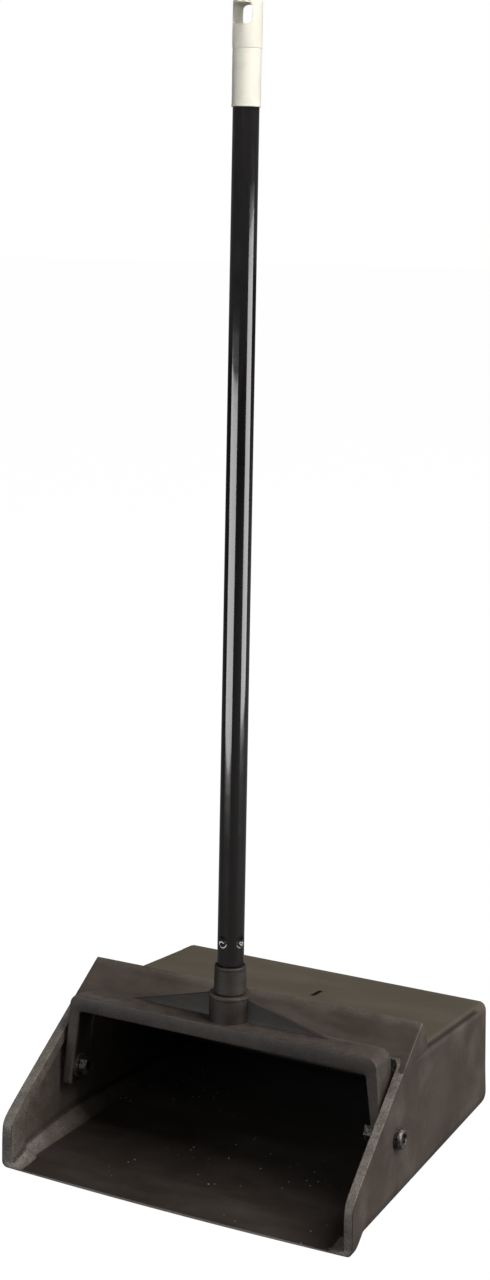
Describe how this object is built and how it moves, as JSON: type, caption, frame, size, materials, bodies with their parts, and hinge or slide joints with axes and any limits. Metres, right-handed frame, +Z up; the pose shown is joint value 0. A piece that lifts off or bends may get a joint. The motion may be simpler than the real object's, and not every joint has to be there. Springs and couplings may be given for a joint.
{
  "type": "upright lobby dust pan",
  "caption": "Hooded hopper dust pan on a swinging bail yoke, with a long steel handle tube and a hanger cap.",
  "frame": {"origin": "middle of the pan's width and depth, at the floor it stands on", "axes": "+Z up, +Y to the back of the hopper, mouth towards -Y, +X to the right seen from the mouth"},
  "size_m": [0.3262, 0.3032, 0.961],
  "materials": {
    "hopper_plastic": "fine moulded grain, satin black-brown",
    "yoke_plastic": "satin black-brown",
    "ferrule_plastic": "satin black",
    "painted_tube": "gloss black paint",
    "cap_plastic": "ivory, lightly glossy",
    "blackened_bolt": "black oxide",
    "bush_plastic": "satin black",
    "nut_steel": "zinc plated"
  },
  "bodies": {
    "pan": {"hopper": "hopper_plastic", "pivot_bolt_right": "blackened_bolt", "pivot_bolt_left": "blackened_bolt", "pivot_washer_right": "blackened_bolt", "pivot_washer_left": "blackened_bolt", "pivot_bush_right": "bush_plastic", "pivot_bush_left": "bush_plastic", "pivot_nut_right": "nut_steel", "pivot_nut_left": "nut_steel", "nut_washer_right": "nut_steel", "nut_washer_left": "nut_steel"},
    "handle": {"yoke": "yoke_plastic", "ferrule": "ferrule_plastic", "handle_tube": "painted_tube", "hanger_cap": "cap_plastic"}
  },
  "joints": [
    {"name": "handle_swing", "type": "hinge", "parent": "pan", "child": "handle", "pos_m": [0, -0.06007, 0.057], "axis": [1, 0, 0], "range_deg": [0, 90]}
  ]
}
